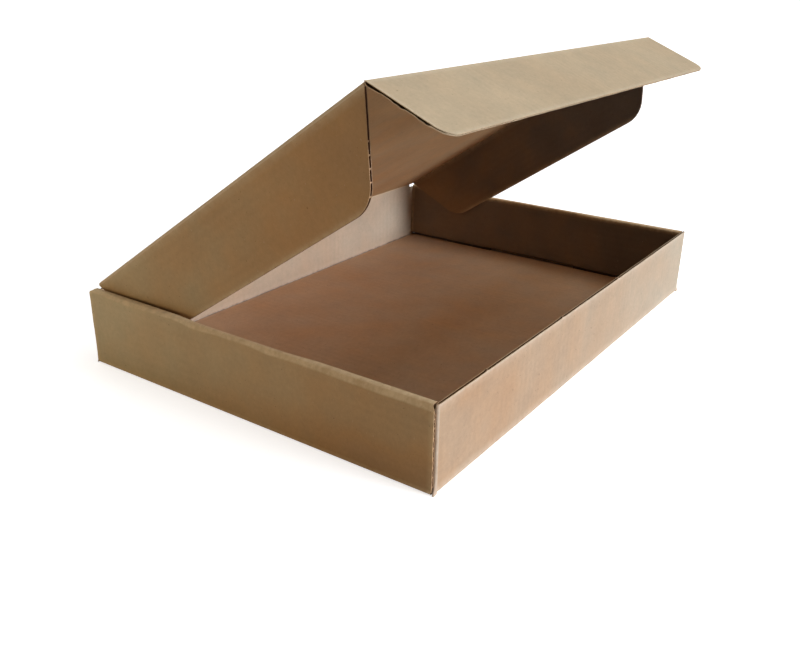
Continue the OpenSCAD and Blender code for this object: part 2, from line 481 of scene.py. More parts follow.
# Noise scales across and along the flutes. The map is flat, so that the third has no effect
FIBRE_SCALE = (1100.0, 3400.0, 1.0)
SPECK_SCALE = (900.0, 2600.0, 1.0)
PATCHY_SCALE = (60.0, 22.0, 1.0)

# The two noise scales of the drift between tones, and of the dark specks and the places of wear and painted
# highlight
DRIFT_SCALES = (24.0, 75.0)
DARK_SPECK_SCALE = 1500.0
WEAR_AND_HIGHLIGHT_SCALE = 420.0

DARK_SPECK = (0.10, 0.055, 0.03, 1)
DARK_SPECK_SHARE = 0.5
PALE_SPECK = (0.78, 0.66, 0.50, 1)
PALE_SPECK_SHARE = 0.35
FLUTE_SHADE = 0.022
WEAR_AND_HIGHLIGHT_LEAST = 0.45
LINER_ROUGHNESS = 0.8
RUBBED_ROUGHER = 0.1


def kraft_group():
    """Kraft paper: blotches in three sizes, fine fibres that lie across the flutes, dark and pale specks.
    The attribute tone, which drifts slowly up and down, picks the tint; the two darkest tints are painted
    shade."""
    group, given, out = new_group(
        "kraft_paper",
        [("Color", "Color", (0.5, 0.4, 0.3, 1)), ("Warm", "Float", 1.0), ("Blotch", "Float", 1.0),
         ("Speck", "Float", 1.0)],
        [("Color", "Color"), ("Height", "Float")])
    place = object_place(group)
    blank = blank_place(group)
    parts = [(noise(group, place, *values), weight) for *values, weight in BLOTCHES]
    grain = parts[-1][0]
    fibre = noise(group, scaled(group, blank, FIBRE_SCALE), 1.0, 3.0, 0.65)
    parts.append((fibre, FIBRE_WEIGHT))
    weighted = [product(group, math_node(group, "SUBTRACT", part, 0.5), weight) for part, weight in parts]
    gain = summed(group, product(group, summed(group, *weighted), given.outputs["Blotch"]), 1.0)
    slow = noise(group, place, DRIFT_SCALES[0], 3.0, 0.6)
    quick = noise(group, place, DRIFT_SCALES[1], 2.0, 0.5)
    drift = summed(group, slow, quick, -1.0)
    level = summed(group, attribute(group, "tone"), product(group, drift, given.outputs["Warm"]))
    tint = PALE_TINT
    for start, next_tint in enumerate((WARM_TINT, SHADE_TINT, DEEP_SHADE_TINT)):
        share = math_node(group, "SUBTRACT", level, float(start), clamp=True)
        tint = mix_node(group, share, tint, next_tint)
    shaded = brightened(group, mix_node(group, 1.0, given.outputs["Color"], tint, "MULTIPLY"), gain)
    dark_speck = ramp(group, noise(group, place, DARK_SPECK_SCALE, 2.0, 0.5), 0.70, 0.78)
    pale_speck = ramp(group, noise(group, scaled(group, blank, SPECK_SCALE), 1.0, 2.0, 0.5), 0.70, 0.80)
    dark_share = product(group, dark_speck, DARK_SPECK_SHARE, given.outputs["Speck"])
    pale_share = product(group, pale_speck, PALE_SPECK_SHARE, given.outputs["Speck"])
    colour = mix_node(group, dark_share, shaded, DARK_SPECK)
    fill(out.inputs["Color"], mix_node(group, pale_share, colour, PALE_SPECK))
    fill(out.inputs["Height"], summed(group, product(group, fibre, 0.5), grain))
    return group


def flute_group():
    """Flutes that show through the liner: a sine of b, uneven along and across the board."""
    group, _, out = new_group("flute_lines", [], [("Shade", "Float"), ("Height", "Float")])
    blank = blank_place(group)
    parts = group.nodes.new("ShaderNodeSeparateXYZ")
    fill(parts.inputs[0], blank)
    wave = math_node(group, "SINE", product(group, parts.outputs["X"], 2 * math.pi / (FLUTE_PITCH * MM)))
    patchy = ramp(group, noise(group, scaled(group, blank, PATCHY_SCALE), 1.0, 2.0), 0.35, 0.7)
    fill(out.inputs["Shade"], product(group, wave, patchy, FLUTE_SHADE))
    fill(out.inputs["Height"], wave)
    return group


def wear_and_highlight_group():
    """Wear on folds and edges, and a highlight painted on folds and on the roll-over strip: one mesh
    attribute for both, made uneven by noise.
    """
    group, given, out = new_group("rubbed_and_highlit_board", [("Amount", "Float", 1.0)], [("Mask", "Float")])
    broken = ramp(group, noise(group, object_place(group), WEAR_AND_HIGHLIGHT_SCALE, 4.0, 0.7), 0.30, 0.68)
    uneven = summed(group, product(group, broken, 1 - WEAR_AND_HIGHLIGHT_LEAST), WEAR_AND_HIGHLIGHT_LEAST)
    rub_and_highlight = product(group, attribute(group, "rub_and_highlight"), uneven)
    fill(out.inputs["Mask"], product(group, rub_and_highlight, given.outputs["Amount"], clamp=True))
    return group


def liner_material(name, colour, rubbed_and_lit, warm=0.6, rub_and_highlight=0.6):
    """A matt liner of kraft paper, with the flutes faintly showing, wear on its folds and a highlight
    painted on them.
    """
    material, tree, shader = new_material(name, LINER_ROUGHNESS, specular=0.25)
    paper = place_group(tree, kraft, Color=(*colour, 1), Warm=warm)
    lined = place_group(tree, flute_lines)
    worn_and_lit = place_group(tree, rubbed_and_highlit_board, Amount=rub_and_highlight).outputs["Mask"]
    shaded = brightened(tree, paper.outputs["Color"], summed(tree, lined.outputs["Shade"], 1.0))
    fill(shader.inputs["Base Color"], mix_node(tree, worn_and_lit, shaded, (*rubbed_and_lit, 1)))
    fill(shader.inputs["Roughness"], summed(tree, product(tree, worn_and_lit, RUBBED_ROUGHER), LINER_ROUGHNESS))
    fibres = product(tree, paper.outputs["Height"], 0.5)
    flutes = product(tree, lined.outputs["Height"], 0.12)
    add_bump(tree, shader, summed(tree, fibres, flutes), strength=0.55, depth=0.04)
    return material


def raw_material(name, colour):
    """Fuzzy paper: the cut edges of the liners, or the rougher paper between them, whose dark colour is
    painted shade in the open flutes.
    """
    material, tree, shader = new_material(name, roughness=0.95, specular=0.15)
    paper = place_group(tree, kraft, Color=(*colour, 1), Warm=0.5, Blotch=1.4, Speck=1.5)
    fill(shader.inputs["Base Color"], paper.outputs["Color"])
    add_bump(tree, shader, paper.outputs["Height"], strength=0.8, depth=0.08)
    return material


kraft = kraft_group()
flute_lines = flute_group()
rubbed_and_highlit_board = wear_and_highlight_group()
raw_edge = raw_material("raw_edge", (0.60, 0.46, 0.31))
# Very dark: painted shade inside the open flutes at the cut edges
core_paper = raw_material("core_paper", (0.15, 0.085, 0.05))
# One kraft liner in five copies, each coloured as its part looks in its light: painted light and shade, the
# flaps' copy darkest. The second colour is for wear and painted highlight.
tray_liner = liner_material("tray_liner", (0.525, 0.395, 0.285), (0.74, 0.60, 0.47), warm=0.5, rub_and_highlight=0.8)
side_liner = liner_material("side_liner", (0.49, 0.37, 0.22), (0.78, 0.59, 0.36), warm=0.6, rub_and_highlight=0.9)
lid_liner = liner_material("lid_liner", (0.56, 0.42, 0.265), (0.67, 0.54, 0.38), warm=0.45)
flap_liner = liner_material("flap_liner", (0.44, 0.325, 0.185), (0.62, 0.48, 0.31), warm=0.8)
tuck_liner = liner_material("tuck_liner", (0.55, 0.435, 0.295), (0.70, 0.58, 0.42), warm=0.2)


# Base with its front and back walls

END_RUNS = [(WALL_H - BEND_LOW, 0), (FOLD_LEN, math.pi / 2), (2 * BEND_Y, 0), (FOLD_LEN, math.pi / 2),
            (BACK_H - BEND_LOW, 0)]
END_STOPS = np.cumsum([0] + [length for length, turn in END_RUNS])
FRONT_FOOT, BASE_FRONT, BASE_BACK, BACK_FOOT, BACK_TOP = END_STOPS[1:]
FOLD_MIDDLES = (FRONT_FOOT + FOLD_LEN / 2, BASE_BACK + FOLD_LEN / 2)
CORNER_X = WALL_BEND_X + 0.3
TOP_RECESS = 0.4
FRONT_BOW = 0.12
NICK_X = (-58.8, -19.6, 18.0)
NICK_H = 0.35
NICK_W = 0.35
NICK_DEPTH = 0.3
NOTCH_SHARE = 0.75
NOTCH_REACH = 4.0

# How tones run over the front wall and the back wall from left to right, as the factors of a polynomial. The
# back wall's is painted light, paler to the right against the lid's shade
FRONT_TONE = (-0.15, -0.35, 0.55)
BACK_PAINTED_LIGHT = (-0.1, 0.4)
# Painted on the base: reddish shade, paler light to the left, shade under the side walls and a shade line
# along the back fold's inner side
BASE_SHADE_TONE = 0.85
BASE_LEFT_PAINTED_LIGHT = 0.3
UNDER_WALL_SHADE_TONE = 2.0
CREASE_SHADE_TONE = 2.9
CREASE_SHADE_W = 0.42


def relief(b):
    """How far the back wall's top is cut down at each end of the lid's crease: the relief hole's round,
    pressed a little flatter."""
    round_part = np.sqrt(np.clip(RELIEF_R ** 2 - np.clip(RELIEF_X - abs(b), 0, None) ** 2, 0, None))
    return NOTCH_SHARE * round_part


def place_ends(a, b, h):
    """Down the front wall, round its fold, back along the base, round a fold and up the back wall.
    The front wall bows out a little in the middle of its top, and its raw edge has small torn nicks,
    each a bell in height, where the blank was held in its sheet.
    The back wall's top ends in the relief holes."""
    y, z, angle = fold_path(a, (HALF_T - HALF_D, WALL_H), -math.pi / 2, END_RUNS)
    bow = FRONT_BOW * np.clip(1 - (b / BEND_X) ** 2, 0, 1) * smooth(FRONT_FOOT - a, 0, FRONT_FOOT)
    nicks = NICK_H * near(b, NICK_X, NICK_W) * (1 - smooth(a, 0, NICK_DEPTH))
    notch = relief(b) * smooth(a, BACK_TOP - NOTCH_REACH, BACK_TOP)
    return np.stack([b, y + h * np.sin(angle) - bow, z - h * np.cos(angle) + nicks - notch], -1)


def end_folds(a):
    """How near a place is to one of the two folds below the end walls."""
    return near(a, FOLD_MIDDLES, 1.0)


def base_keep(a, b):
    """The walls end where their upright folds start, the folds below them go on into the corners,
    and four slots in the base take the locking tabs."""
    on_wall = (a < FRONT_FOOT) | (a > BACK_FOOT)
    y = a - BASE_FRONT - BEND_Y
    slot = (abs(abs(b) - INNER_X) < HALF_T + SLOT_GAP) & (abs(abs(y) - TAB_OFFSET) < TAB_W / 2 + SLOT_GAP)
    on_base = (a > BASE_FRONT) & (a < BASE_BACK)
    reach = np.where(on_wall, WALL_BEND_X, np.where(on_base, BEND_X, CORNER_X))
    return (abs(b) < reach) & ~slot


def make_base():
    """One piece from the front wall's raw top edge to the back wall's top."""
    edge = [0, NICK_DEPTH, 0.9, 2.5]
    beside = np.array([0, 0.6, 2])
    half_slot = TAB_W / 2 + SLOT_GAP
    slots = BASE_FRONT + BEND_Y + np.add.outer((-TAB_OFFSET, TAB_OFFSET), (-half_slot, half_slot)).ravel()
    a_stops = [*edge, *(FRONT_FOOT - beside[::-1]), *(BASE_FRONT + beside), *slots]
    a_stops += [*(BASE_BACK - beside[::-1]), *(BACK_FOOT + beside), BACK_TOP - 1, BACK_TOP]
    slot_x = [INNER_X - HALF_T - SLOT_GAP, INNER_X + HALF_T + SLOT_GAP]
    half = sorted([0, *slot_x, WALL_BEND_X, BEND_X, CORNER_X])
    b_stops = mirrored(half)
    nick_lines = np.add.outer(NICK_X, np.linspace(-1, 1, 9)).ravel()
    notch_lines = np.outer((-1, 1), RELIEF_X - RELIEF_R * np.cos(np.radians((0, 8, 20, 36, 60, 90)))).ravel()
    b_coarse = merged(lines(b_stops, BASE_STEP), nick_lines, notch_lines)
    fold_lines = [lines(fold, FOLD_STEP) for fold in ((FRONT_FOOT, BASE_FRONT), (BASE_BACK, BACK_FOOT))]
    a_coarse = merged(lines(a_stops, BASE_STEP), *fold_lines)
    a_fine = merged(lines(a_stops, LONG_STEP), *fold_lines)
    a_fine[0] = TOP_RECESS
    coarse = grid(a_coarse, b_coarse, base_keep)
    fine = grid(a_fine, lines(b_stops, BASE_FLUTE_STEP), base_keep)
    top = lambda a, b: HALF_T + WAVINESS * ripple(a, b, 3)
    pressed = lambda a: 0.22 * end_folds(a) ** 2 + 0.1 * near(a, (0,), 0.5)
    bottom = lambda a, b: -HALF_T + pressed(a) + WAVINESS * ripple(a, b, 4)
    rub_and_highlight = lambda a, b: end_folds(a) + near(a, (0,), 0.8)

    def tone(a, b, h):
        """The front wall gets paler to the right. The base is painted reddish as shade and paler to the left
        as light, and the back wall is pale and painted paler to the right as light.
        A line of painted shade runs along the inner side of the back fold, and painted shade lies on the
        base under the side walls."""
        right = b / HALF_W
        front = np.polyval(FRONT_TONE, right)
        base = BASE_SHADE_TONE - BASE_LEFT_PAINTED_LIGHT * np.clip(-right, 0, 1) ** 2
        back = np.polyval(BACK_PAINTED_LIGHT, right)
        past_front = smooth(a, FRONT_FOOT, BASE_FRONT)
        on_back = smooth(a, BASE_BACK, BACK_FOOT)
        on_base = past_front * (1 - on_back)
        level = front * (1 - past_front) + base * on_base + back * on_back
        level = level + CREASE_SHADE_TONE * (h < 0) * near(a, FOLD_MIDDLES[1:], CREASE_SHADE_W)
        return level + (UNDER_WALL_SHADE_TONE - level) * on_base * smooth(abs(b), INNER_X - 1, INNER_X)

    layers = corrugated(place_ends, coarse, fine, top, bottom, rub_and_highlight, tone)
    piece = make_piece("base_and_end_walls", layers, tray_liner, "tray")
    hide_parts("tray")


# Corner ears: they go on from the end walls round the upright folds

UPRIGHT_FOOT = 0.03
UPRIGHT_END = UPRIGHT_LEN + 0.3
UPRIGHT_RUNS = [(UPRIGHT_LEN, math.pi / 2), (EAR_LEN + BOARD_T - HALF_T - UPRIGHT_R, 0)]
EAR_END = sum(length for length, turn in UPRIGHT_RUNS)
TOE_X = 0.95
TOE_Y = 0.3
TOE_H = 2.4
EAR_TONE = 0.7
# Painted shade where the ear goes into the gap beside the side wall
EAR_GAP_SHADE_TONE = 2.3


def ear_slant(s):
    """How far the ear's upper and lower edges have come in towards its free end."""
    return np.clip(s - EAR_END + EAR_SLANT, 0, EAR_SLANT)


def make_ear(name, side, end):
    """From the end wall's edge round an upright fold and along the inside of the side wall's outer panel."""
    height = WALL_H if end < 0 else BACK_H - RELIEF_R
    along = lambda b: abs(b) - WALL_BEND_X

    def place(a, b, h):
        """The path in plan for the corner at +X and -Y, mirrored to the other corners.
        At its foot the fold is pressed out to a small toe in the box's corner."""
        s = along(b)
        x, y, angle = fold_path(s, (WALL_BEND_X, HALF_T - HALF_D), 0.0, UPRIGHT_RUNS)
        on_fold = smooth(s, 0, UPRIGHT_LEN * 0.7) * (1 - smooth(s, UPRIGHT_LEN, UPRIGHT_END))
        toe = on_fold * (1 - smooth(a, 0, TOE_H))
        x = x + h * np.sin(angle) + TOE_X * toe
        y = y - h * np.cos(angle) - TOE_Y * toe
        return np.stack([side * x, -end * y, a], -1)

    def low(b):
        """The fold reaches down to the base's own fold, and the ear stays clear of the base."""
        s = along(b)
        step_up = BOARD_T + EAR_GAP - UPRIGHT_FOOT
        return UPRIGHT_FOOT + step_up * smooth(s, UPRIGHT_LEN, UPRIGHT_END) + ear_slant(s)

    def high(b):
        """The fold is as high as its wall, and the ear stays below the roll-over strip."""
        s = along(b)
        step_down = height - WALL_H + BOARD_T + EAR_TOP_GAP
        return height - step_down * smooth(s, UPRIGHT_LEN, UPRIGHT_END) - ear_slant(s)

    def tone(a, b, h):
        """Painted shade from the middle of the upright fold on, where it goes into the gap beside the side
        wall.
        """
        inside = smooth(along(b), 0.5 * UPRIGHT_LEN, 1.2 * UPRIGHT_LEN)
        return EAR_TONE + (EAR_GAP_SHADE_TONE - EAR_TONE) * inside

    stops = [WALL_BEND_X + s for s in (0, UPRIGHT_LEN, UPRIGHT_END, EAR_END - EAR_SLANT, EAR_END)]
    b_coarse = merged(lines(stops, PANEL_STEP), lines(stops[:2], UPRIGHT_LEN / 8))
    share = lines([0, 0.02, 0.06, 0.12, 0.94, 0.98, 1], 0.1)
    coarse = outlined(share, side * b_coarse, low, high)
    fine = outlined(share, side * lines(stops, FLUTE_STEP), low, high)
    fold = lambda b: near(along(b), (UPRIGHT_LEN / 2,), 0.5)
    rub_and_highlight = lambda a, b: fold(b) + near(a, (height,), 0.6)
    top = lambda a, b: np.full(np.shape(a), HALF_T)
    bottom = lambda a, b: -HALF_T + 0.33 * fold(b)
    layers = corrugated(place, coarse, fine, top, bottom, rub_and_highlight, tone)
    make_piece(name, layers, tray_liner, "tray")


# Side walls: outer panel, roll-over strip and inner panel

FOOT = BOARD_T + FOOT_GAP
SECOND_TURN = math.pi / 2 - SHOULDER_TURN
STRIP_W = HALF_W - HALF_T - INNER_X - SHOULDER_W - STRIP_FOLD_R
SIDE_RUNS = [(FOLD_LEN, math.pi / 2), (WALL_H - HALF_T - SHOULDER_H - BEND_LOW, 0),
             (SHOULDER_R * SHOULDER_TURN, SHOULDER_TURN), (SHOULDER_LEN, 0),
             (SHOULDER_R * SECOND_TURN, SECOND_TURN), (STRIP_W, 0),
             (STRIP_FOLD_LEN, math.pi / 2), (BEND_HIGH - TAB_INSET, 0)]
SIDE_STOPS = np.cumsum([0] + [length for length, turn in SIDE_RUNS])
PANEL_FOOT, SHOULDER, SLOPE, SLOPE_END = SIDE_STOPS[1:5]
STRIP_END, INNER_TOP, INNER_END = SIDE_STOPS[6:]
FOOT_S = INNER_END - (FOOT - TAB_INSET)
OUTER_END = HALF_D - OUTER_END_STEP
STRIP_INSET = OUTER_END - (HALF_D - BOARD_T - INNER_END_GAP)
PINCH = 0.85
PINCH_FROM = 26.0
PINCH_TO = 12.0
LEAN = {1: 0.7, -1: 0.3}
STRIP_SINKS = 0.75
STRIP_WAVE = 0.28
STRIP_SQUEEZE = 0.04
CREST_BEFORE = 2.0
CREST_AFTER = 0.5
# Painted shade on the side walls: the inner panels, the right one most, their feet, the outer panel's face
# towards them, and the outer panel to the front and foot
INNER_SHADE_TONE = {1: 1.8, -1: 0.9}
OUTER_TONE = 0.15
OUTER_FORWARD_SHADE = 0.75
OUTER_FOOT_SHADE = 0.4
FORWARD_SHADE = 0.2
GAP_SHADE_TONE = 1.2
FOOT_SHADE_TONE = 3.0


def make_side_wall(name, side):
    """One piece from the base's side fold up, over the top and down to the tabs in the base."""

    def place(a, b, h):
        """The path across the wall, for the side at +X, mirrored to the other side.
        Away from the ears the inner panel lies closer to the outer one, and its foot leans in.
        The strip's outer fold is a little wavy and lies lower to the front, and the ends of the strip
        and the inner panel are drawn in between the end walls."""
        s = abs(b) - BEND_X
        x, z, angle = fold_path(s, (BEND_X, HALF_T), 0.0, SIDE_RUNS)
        over = smooth(s, SLOPE_END, INNER_TOP)
        x = x + h * np.sin(angle) + PINCH * over * (1 - smooth(abs(a), PINCH_TO, PINCH_FROM))
        z = z - h * np.cos(angle)
        inner = smooth(s, INNER_TOP, INNER_TOP + 2)
        lean = (BEND_HIGH - z) / (BEND_HIGH - FOOT) * smooth(z, BOARD_T * 0.6, FOOT + 1.5)
        x = x - inner * LEAN[side] * np.clip(lean, 0, 1) * (1 - 0.25 * (a / HALF_D) ** 2)
        past = s - (SHOULDER + SLOPE) / 2
        crest = np.exp(-(past / np.where(past < 0, CREST_BEFORE, CREST_AFTER)) ** 2)
        forward = 0.5 - a / HALF_D / 2
        z = z + crest * (STRIP_WAVE * ripple(a, 0 * a, 11 + side, 30, 7) - STRIP_SINKS * forward ** 2)
        x = x - STRIP_SQUEEZE * crest * (1 + ripple(a, 0 * a, 14 + side, 18, 6))
        drawn_in = STRIP_INSET * smooth(s, SHOULDER, SLOPE_END) * smooth(abs(a), HALF_D - 6, OUTER_END)
        return np.stack([side * x, a - np.sign(a) * drawn_in, z], -1)

    def keep(a, b):
        """The fold at the base is shorter than the panels above it, and tabs go on below the inner panel."""
        s = abs(b) - BEND_X
        reach = np.where(s < PANEL_FOOT, BEND_Y, OUTER_END)
        tab = abs(abs(a) - TAB_OFFSET) < TAB_W / 2
        return (abs(a) < reach) & ((s < FOOT_S) | tab)

    half = [0, TAB_OFFSET - TAB_W / 2, TAB_OFFSET + TAB_W / 2, BEND_Y - 1.2, BEND_Y, OUTER_END]
    a_stops = mirrored(half)
    s_stops = [0, PANEL_FOOT, PANEL_FOOT + 0.8, SHOULDER - 0.8, SHOULDER - 0.3, *SIDE_STOPS[2:8],
               INNER_TOP + 0.8, FOOT_S - 2, FOOT_S - 0.5, FOOT_S, INNER_END]
    folds = np.concatenate([lines(SIDE_STOPS[i:i + 2], FOLD_STEP) for i in (0, 2, 4, 6)])
    b_coarse = BEND_X + merged(lines(s_stops, 1.2), folds)
    b_fine = BEND_X + merged(lines(s_stops, FLUTE_STEP), folds)
    a_lines = lines(a_stops, 1.5)
    coarse = grid(a_lines, side * b_coarse, keep)
    fine = grid(a_lines * (1 - CORE_RECESS / HALF_D), side * b_fine, keep)
    fold_at = lambda b: abs(b) - BEND_X
    lump = lambda a, b: smooth(fold_at(b), 1, 3) * (1 - smooth(fold_at(b), SHOULDER - 2, SHOULDER))
    top = lambda a, b: HALF_T + 0.05 * lump(a, b) * (ripple(a, b, 20 + side, 24, 5) - 0.9)
    folds_mid = [(SIDE_STOPS[i] + SIDE_STOPS[i + 1]) / 2 for i in (0, 3, 6)]
    bottom = lambda a, b: -HALF_T + 0.2 * np.clip(near(fold_at(b), folds_mid, 0.8), 0, 1)

    def rub_and_highlight(a, b):
        """The folds and the outer panel's ends get wear, the folds with a painted highlight, and the whole
        strip gets a painted highlight where light falls on its top.
        """
        s = fold_at(b)
        strip = smooth(s, SHOULDER, SLOPE) * (1 - smooth(s, STRIP_END, INNER_TOP))
        ends = 0.5 * near(abs(a), (OUTER_END,), 0.7)
        return 0.6 * near(s, folds_mid[::2], 0.7) + strip + ends

    def tone(a, b, h):
        """The outer panel gets redder and darker to the front and down as painted shade, and its face
        towards the inner panel has painted shade.
        The inner panel is painted darker as shade, the right one most and more to the front, and its foot
        black as painted shade in the gap above the base."""
        s = fold_at(b)
        forward = 0.5 - a / HALF_D / 2
        outer = OUTER_TONE + OUTER_FORWARD_SHADE * forward + OUTER_FOOT_SHADE * forward * (1 - smooth(s, 1, 13))
        outer = outer + (GAP_SHADE_TONE - outer) * (h < 0) * (s < SHOULDER)
        inner = INNER_SHADE_TONE[side] + FORWARD_SHADE * forward
        level = outer + (inner - outer) * smooth(s, STRIP_END, INNER_TOP)
        return level + (FOOT_SHADE_TONE - inner) * (s > FOOT_S - 0.1)

    layers = corrugated(place, coarse, fine, top, bottom, rub_and_highlight, tone)
    make_piece(name, layers, side_liner, "tray")


# Lid

def turned(y, z, angle):
    """A place turned round the X axis, from +Y towards +Z."""
    c = math.cos(angle)
    s = math.sin(angle)
    return y * c - z * s, y * s + z * c


def on_lid(x, y, z):
    """From the closed lid's own place, with its crease on the X axis, to the open lid's place."""
    y, z = turned(y, z, -LID_OPEN)
    return np.stack([x, y + hinge[1], z + hinge[2]], -1)


def on_tuck(x, y, z):
    """From the flat tuck flap's own place, with its crease on the X axis, to its bent place."""
    y, z = turned(y, z, TUCK_BEND)
    return on_lid(x, y - LID_LEN, z)


CREASE_TAPER = 0.5
# How much redder and darker the lid's inner face is painted, as the shade it lies in
LID_INSIDE_SHADE = 0.45


def pressed_end(distance):
    """How far the inner face is pressed in beside a crease that turns: a straight bevel to the crease."""
    return (HALF_T - 0.04) * np.clip(1 - distance / CREASE_TAPER, 0, 1)


def make_lid():
    """The lid's flat panel, with a quarter of a relief hole at each rear corner."""

    def rear(b):
        """The rear edge lies on the crease and goes round the relief holes."""
        return -np.sqrt(np.clip(RELIEF_R ** 2 - (abs(b) - RELIEF_X) ** 2, 0, None))

    front = lambda b: np.full_like(b, -LID_LEN)
    notch = list(RELIEF_X - RELIEF_R * np.cos(np.radians((0, 10, 22, 36, 50, 64))))
    half = [0, FLAP_FOLD_X - 4] + [x for x in notch if x < FLAP_FOLD_X - 0.05] + [FLAP_FOLD_X]
    b_stops = mirrored(half)
    ends = [0, 0.15 / LID_LEN, 0.35 / LID_LEN, CREASE_TAPER / LID_LEN, 1.2 / LID_LEN, 3 / LID_LEN]
    share = ends + [1 - x for x in ends[::-1]]
    coarse = outlined(lines(share, 0.025), lines(b_stops, PANEL_STEP), front, rear)
    fine = outlined(lines(share, 0.1), lines(b_stops, FLUTE_STEP), front, rear)
    top = lambda a, b: HALF_T + WAVINESS * ripple(a, b, 31)
    bottom = lambda a, b: (-HALF_T + pressed_end(a + LID_LEN) + 0.2 * near(a, (0,), 0.5)
                           + WAVINESS * ripple(a, b, 32) * smooth(a + LID_LEN, 1, 4))
    rub_and_highlight = lambda a, b: near(a, (0, -LID_LEN), 0.9) + near(abs(b), (FLAP_FOLD_X,), 0.7)
    # The inner face is painted redder and darker as shade
    tone = lambda a, b, h: USUAL_TONE + LID_INSIDE_SHADE * (h < 0)
    layers = corrugated(lambda a, b, h: on_lid(b, a, h), coarse, fine, top, bottom, rub_and_highlight, tone)
    piece = make_piece("lid_panel", layers, lid_liner, "lid")
    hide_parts("lid")


# Lid flaps

FLAP_TONE = 0.4
# Painted shade: flaps redder and darker to the front, the right flap's inner face darker
FLAP_FORWARD_SHADE = 0.75
FLAP_INSIDE_SHADE = {1: 1.1, -1: 0.2}
FLAP_FOOT_X = LID_X + FLAP_LEN
CORNER_CENTRE = FLAP_LEN - FLAP_CORNER_R
CORNER_START = CORNER_CENTRE + FLAP_CORNER_R * math.sin(FLAP_TAPER)


def flap_end(depth):
    """How far a flap's end has come in at a depth below its crease: a slant, then a round corner."""
    inset = FLAP_LEN * math.tan(FLAP_TAPER) + FLAP_CORNER_R / math.tan((math.pi / 2 + FLAP_TAPER) / 2)
    reach = np.sqrt(np.clip(FLAP_CORNER_R ** 2 - (depth - CORNER_CENTRE) ** 2, 0, None))
    return np.where(depth < CORNER_START, depth * math.tan(FLAP_TAPER), inset - reach)


def make_flap(name, side, node):
    """A lid flap that hangs square to the lid, from the line that it turns on."""
    depth = lambda b: abs(b) - LID_X
    front = lambda b: FLAP_FRONT_GAP - LID_LEN + flap_end(depth(b))
    rear = lambda b: -FLAP_REAR_GAP[side] - flap_end(depth(b))

    def place(a, b, h):
        """Depth goes down from the lid's inner face, and the outer face looks away from the box.
        The flap leans in a little, the more the deeper."""
        lean = FLAP_LEAN[side] * depth(b) / FLAP_LEN
        return on_lid(side * (FLAP_FOLD_X + HALF_T + h - lean), a, -HALF_T - depth(b))

    arc = CORNER_CENTRE + FLAP_CORNER_R * np.sin(np.radians((38, 46, 54, 62, 70, 77, 83, 87)))
    stops = [LID_X + d for d in (0, 0.6, CORNER_START, *arc, FLAP_LEN)]
    share = lines([0, 0.004, 0.015, 0.03, 0.97, 0.985, 0.996, 1], 0.03)
    gaping = lambda b: GAPING * (1 - smooth(depth(b), GAPING_TO - 2, GAPING_TO))
    open_end = lambda b: CORE_RECESS + np.maximum(gaping(b), 0.5 * (1 - bridges(b)))
    core_front = lambda b: front(b) + open_end(b)
    core_rear = lambda b: rear(b) - CORE_RECESS
    core_stops = [x for x in stops if x < FLAP_FOOT_X - GROOVE] + [FLAP_FOOT_X - GROOVE]
    coarse = outlined(share, side * lines(stops, 1.5), front, rear)
    fine = outlined(share, side * lines(core_stops, FLUTE_STEP), core_front, core_rear)
    bottom = lambda a, b: -HALF_T + 0.1 * near(depth(b), (0,), 0.5)
    top = lambda a, b: HALF_T + WAVINESS * ripple(a, b, 41 + side) * smooth(depth(b), 0, 2)
    rub_and_highlight = lambda a, b: near(depth(b), (0, FLAP_LEN), 0.8)

    def tone(a, b, h):
        """Redder and darker to the front, and the right flap's inner face darker: all painted shade."""
        forward = -a / LID_LEN
        return FLAP_TONE + FLAP_FORWARD_SHADE * forward + FLAP_INSIDE_SHADE[side] * (h < 0)

    layers = corrugated(place, coarse, fine, top, bottom, rub_and_highlight, tone)
    piece = make_piece(name, layers, flap_liner, node)
    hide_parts(node)


# Tuck flap

# How far its ends are crushed and its free edge is pressed, each with what it varies by
CRUSH = (0.22, 0.16)
EDGE_PRESS = (0.36, 0.06)
FRAY = 0.35


